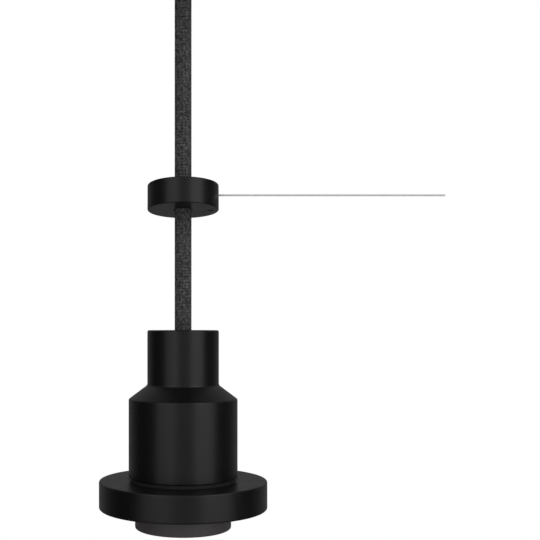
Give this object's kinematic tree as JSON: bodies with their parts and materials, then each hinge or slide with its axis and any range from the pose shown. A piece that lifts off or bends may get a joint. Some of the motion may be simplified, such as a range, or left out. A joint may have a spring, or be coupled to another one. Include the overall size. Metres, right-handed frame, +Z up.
{
  "type": "pendant lamp holder",
  "caption": "Turned black pendant lamp holder with shade ring on a textile cord, with a sliding cord clamp and side suspension wire, and its ceiling fitting.",
  "frame": {"origin": "middle of the mounting bar's top face, which lies flat on the ceiling", "axes": "+Z up along the cord, +X along the suspension wire, the picture looks along +Y"},
  "size_m": [0.1471, 0.08, 0.2505],
  "materials": {
    "black_cover": "satin",
    "black_aluminium": "satin",
    "zinc_steel": "satin",
    "wire_steel": "satin",
    "black_plastic": "matte",
    "white_nylon": "matte",
    "braid": "woven",
    "brown_core": "matte",
    "blue_core": "matte",
    "earth_core": "matte",
    "brown_plastic": "matte",
    "cream_plastic": "matte",
    "brass": "satin",
    "spring_steel": "satin",
    "black_rubber": "matte"
  },
  "bodies": {
    "holder": {"ceiling_cover": "black_cover", "mounting_bar": "zinc_steel", "cover_screws": "zinc_steel", "ceiling_gland": "black_cover", "gland_nut": "zinc_steel", "gland_screw": "white_nylon", "terminal_strip": "white_nylon", "strip_screws": "zinc_steel", "supply_live": "brown_core", "supply_neutral": "blue_core", "supply_earth": "earth_core", "flex_cord": "braid", "holder_cup": "black_aluminium", "nipple": "zinc_steel", "nipple_nut": "zinc_steel", "holder_cap": "zinc_steel", "cord_grip": "white_nylon", "grip_screw": "zinc_steel", "contact_block": "cream_plastic", "live_terminal": "brass", "neutral_terminal": "brass", "terminal_screws": "zinc_steel", "shell_rivets": "brass", "live_strip": "brass", "contact_spring": "spring_steel", "screw_shell": "brass", "earth_terminal": "brass", "earth_screw": "zinc_steel", "live_core": "brown_core", "neutral_core": "blue_core", "earth_core": "earth_core", "skirt": "brown_plastic"},
    "clamp_bush": {"clamp_bush": "black_plastic"},
    "clamp": {"clamp_ring": "black_aluminium", "bush_clip": "spring_steel", "wire_screw": "zinc_steel", "suspension_wire": "wire_steel"},
    "ring_washer": {"ring_washer": "black_rubber"},
    "shade_ring": {"shade_ring": "black_aluminium"},
    "centre_contact": {"centre_contact": "brass"}
  },
  "joints": [
    {"name": "clamp_slide", "type": "slide", "parent": "holder", "child": "clamp_bush", "axis": [0, 0, 1], "range_m": [-0.0455, 0.077]},
    {"name": "clamp_turn", "type": "hinge", "parent": "clamp_bush", "child": "clamp", "pos_m": [0, 0, -0.12043], "axis": [0, 0.1045, 0.9945], "continuous": true},
    {"name": "ring_lower", "type": "slide", "parent": "holder", "child": "ring_washer", "axis": [0, 0, -1], "range_m": [0, 0.018]},
    {"name": "ring_turn", "type": "hinge", "parent": "ring_washer", "child": "shade_ring", "pos_m": [0, 0, -0.2373], "axis": [0, 0, -1], "range_deg": [0, 3240]},
    {"name": "contact_press", "type": "slide", "parent": "holder", "child": "centre_contact", "axis": [0, 0, 1], "range_m": [0, 0.0018], "stiffness_N_per_m": 1500, "springref_m": -0.001, "deforming": ["contact_spring"]}
  ],
  "couplings": [
    {"joint": "ring_lower", "follows": "ring_turn", "m_per_rad": 0.00031831}
  ]
}
